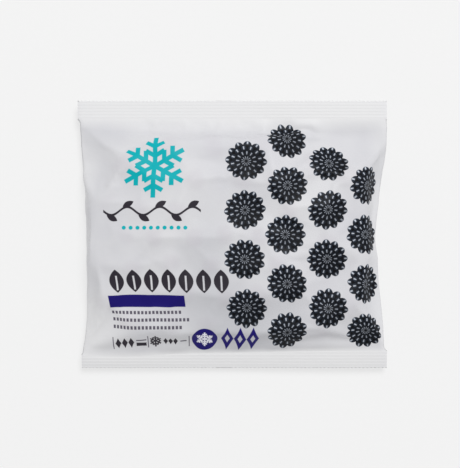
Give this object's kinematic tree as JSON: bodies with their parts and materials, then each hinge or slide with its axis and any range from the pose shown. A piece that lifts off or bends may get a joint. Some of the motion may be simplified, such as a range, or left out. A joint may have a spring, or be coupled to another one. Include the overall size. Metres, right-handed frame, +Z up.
{
  "type": "sealed film bag of frozen bramble berries",
  "caption": "Pillow-shaped film bag with a back fin seam and ribbed cross seals, lying flat and filled with loose frozen bramble berries.",
  "frame": {"origin": "under the middle of the bag's bounding box, on the surface that the bag lies on", "axes": "+X across the bag along the cross seals, +Y along the bag towards the top seal, +Z up out of the front panel"},
  "size_m": [0.2, 0.1724, 0.0289],
  "materials": {
    "film": "white polyethylene film, satin, slightly translucent",
    "berry": "frozen bramble berry skin, dark with a dull bloom"
  },
  "bodies": {
    "root": {"film_bag": "film", "berry_01": "berry", "berry_02": "berry", "berry_03": "berry", "berry_04": "berry", "berry_05": "berry", "berry_06": "berry", "berry_07": "berry", "berry_08": "berry", "berry_09": "berry", "berry_10": "berry", "berry_11": "berry", "berry_12": "berry", "berry_13": "berry", "berry_14": "berry", "berry_15": "berry", "berry_16": "berry", "berry_17": "berry", "berry_18": "berry", "berry_19": "berry", "berry_20": "berry", "berry_21": "berry", "berry_22": "berry", "berry_23": "berry", "berry_24": "berry", "berry_25": "berry", "berry_26": "berry", "berry_27": "berry", "berry_28": "berry", "berry_29": "berry", "berry_30": "berry", "berry_31": "berry", "berry_32": "berry", "berry_33": "berry", "berry_34": "berry", "berry_35": "berry", "berry_36": "berry", "berry_37": "berry", "berry_38": "berry", "berry_39": "berry", "berry_40": "berry", "berry_41": "berry", "berry_42": "berry", "berry_43": "berry", "berry_44": "berry", "berry_45": "berry", "berry_46": "berry"}
  },
  "joints": []
}
